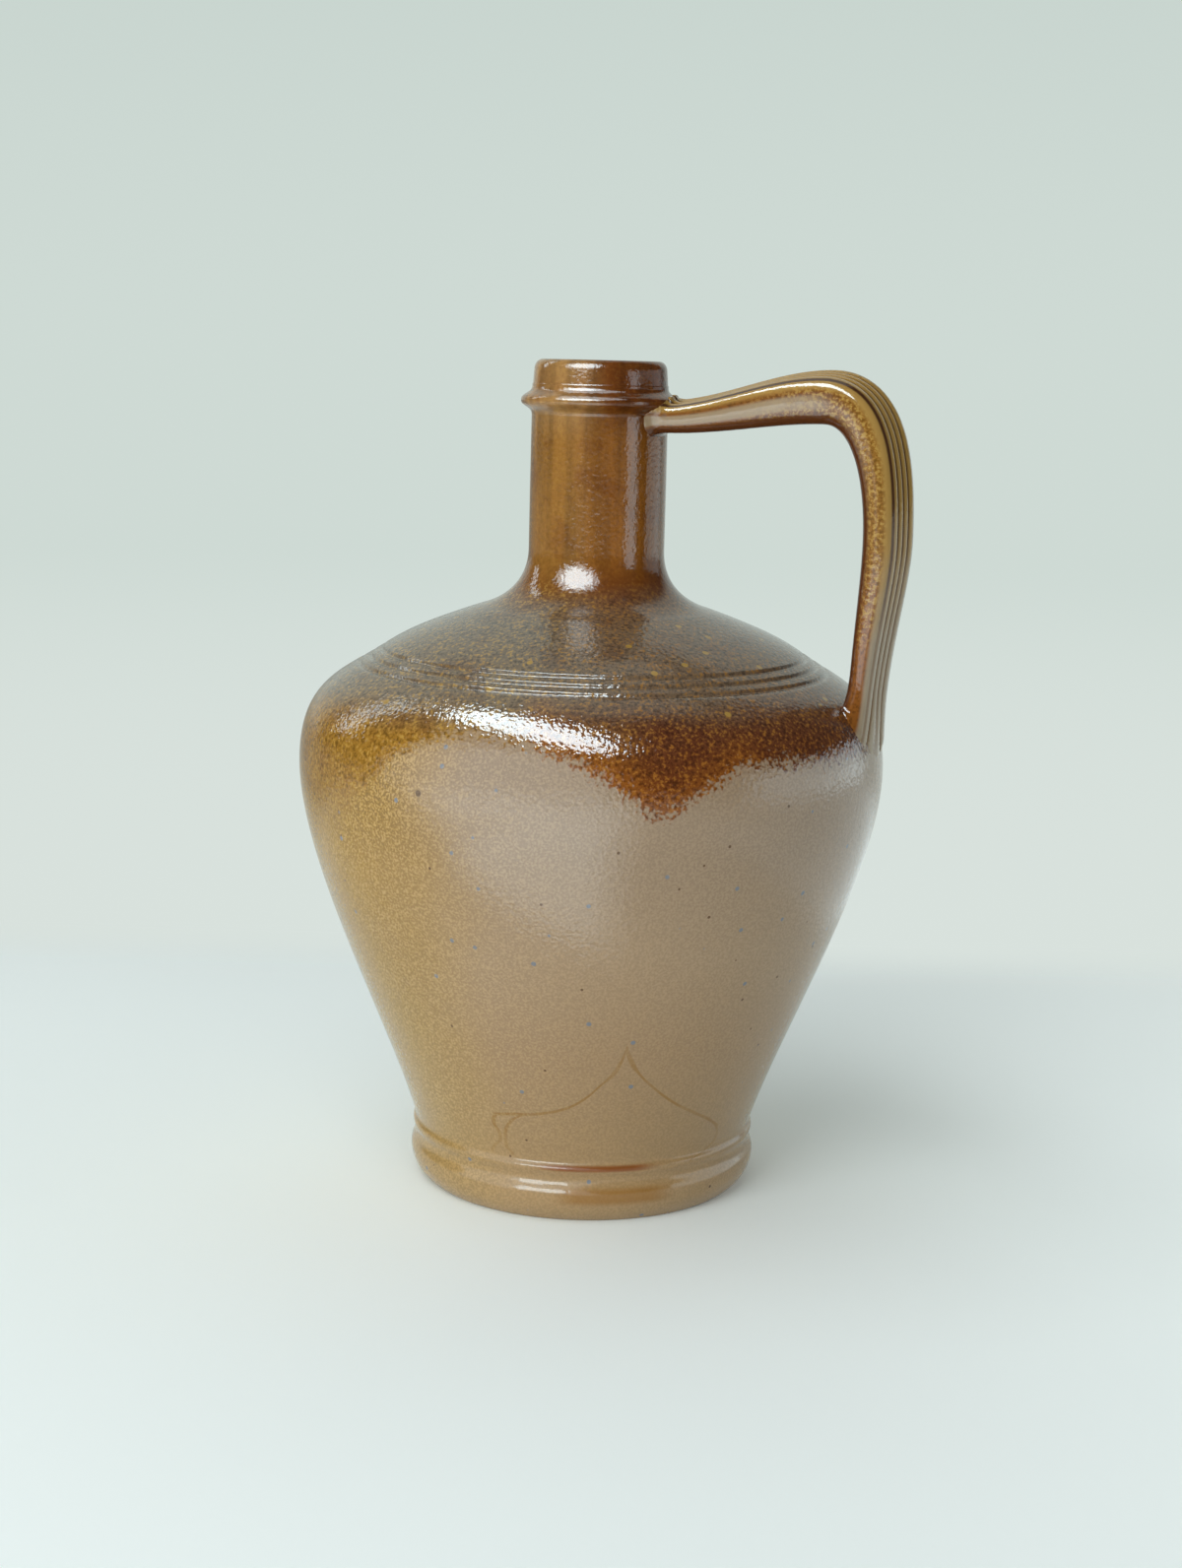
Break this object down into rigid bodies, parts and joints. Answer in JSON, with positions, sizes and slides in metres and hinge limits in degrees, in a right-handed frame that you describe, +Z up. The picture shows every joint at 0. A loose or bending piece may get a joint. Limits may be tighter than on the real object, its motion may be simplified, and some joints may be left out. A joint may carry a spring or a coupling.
{
  "type": "stoneware bottle",
  "caption": "Salt-glazed stoneware bottle with a moulded foot, swelling belly, ringed shoulder, collared narrow neck and a reeded strap handle for carrying and pouring.",
  "frame": {"origin": "centre of the flat base, on the bottle's axis", "axes": "+Z up along the axis, +X from the neck toward the handle"},
  "size_m": [0.1829, 0.1772, 0.25],
  "materials": {
    "lower_body_glaze": "tan salt glaze with a fine orange-peel surface and dark specks",
    "shoulder_glaze": "glossy red-brown salt glaze with ochre flecks",
    "neck_glaze": "glossy honey-brown salt glaze",
    "collar_glaze": "glossy brown salt glaze",
    "handle_glaze": "glossy red-brown salt glaze with ochre speckle"
  },
  "bodies": {
    "root": {"lower_body": "lower_body_glaze", "shoulder": "shoulder_glaze", "neck": "neck_glaze", "collar_ring": "collar_glaze", "handle": "handle_glaze"}
  },
  "joints": []
}
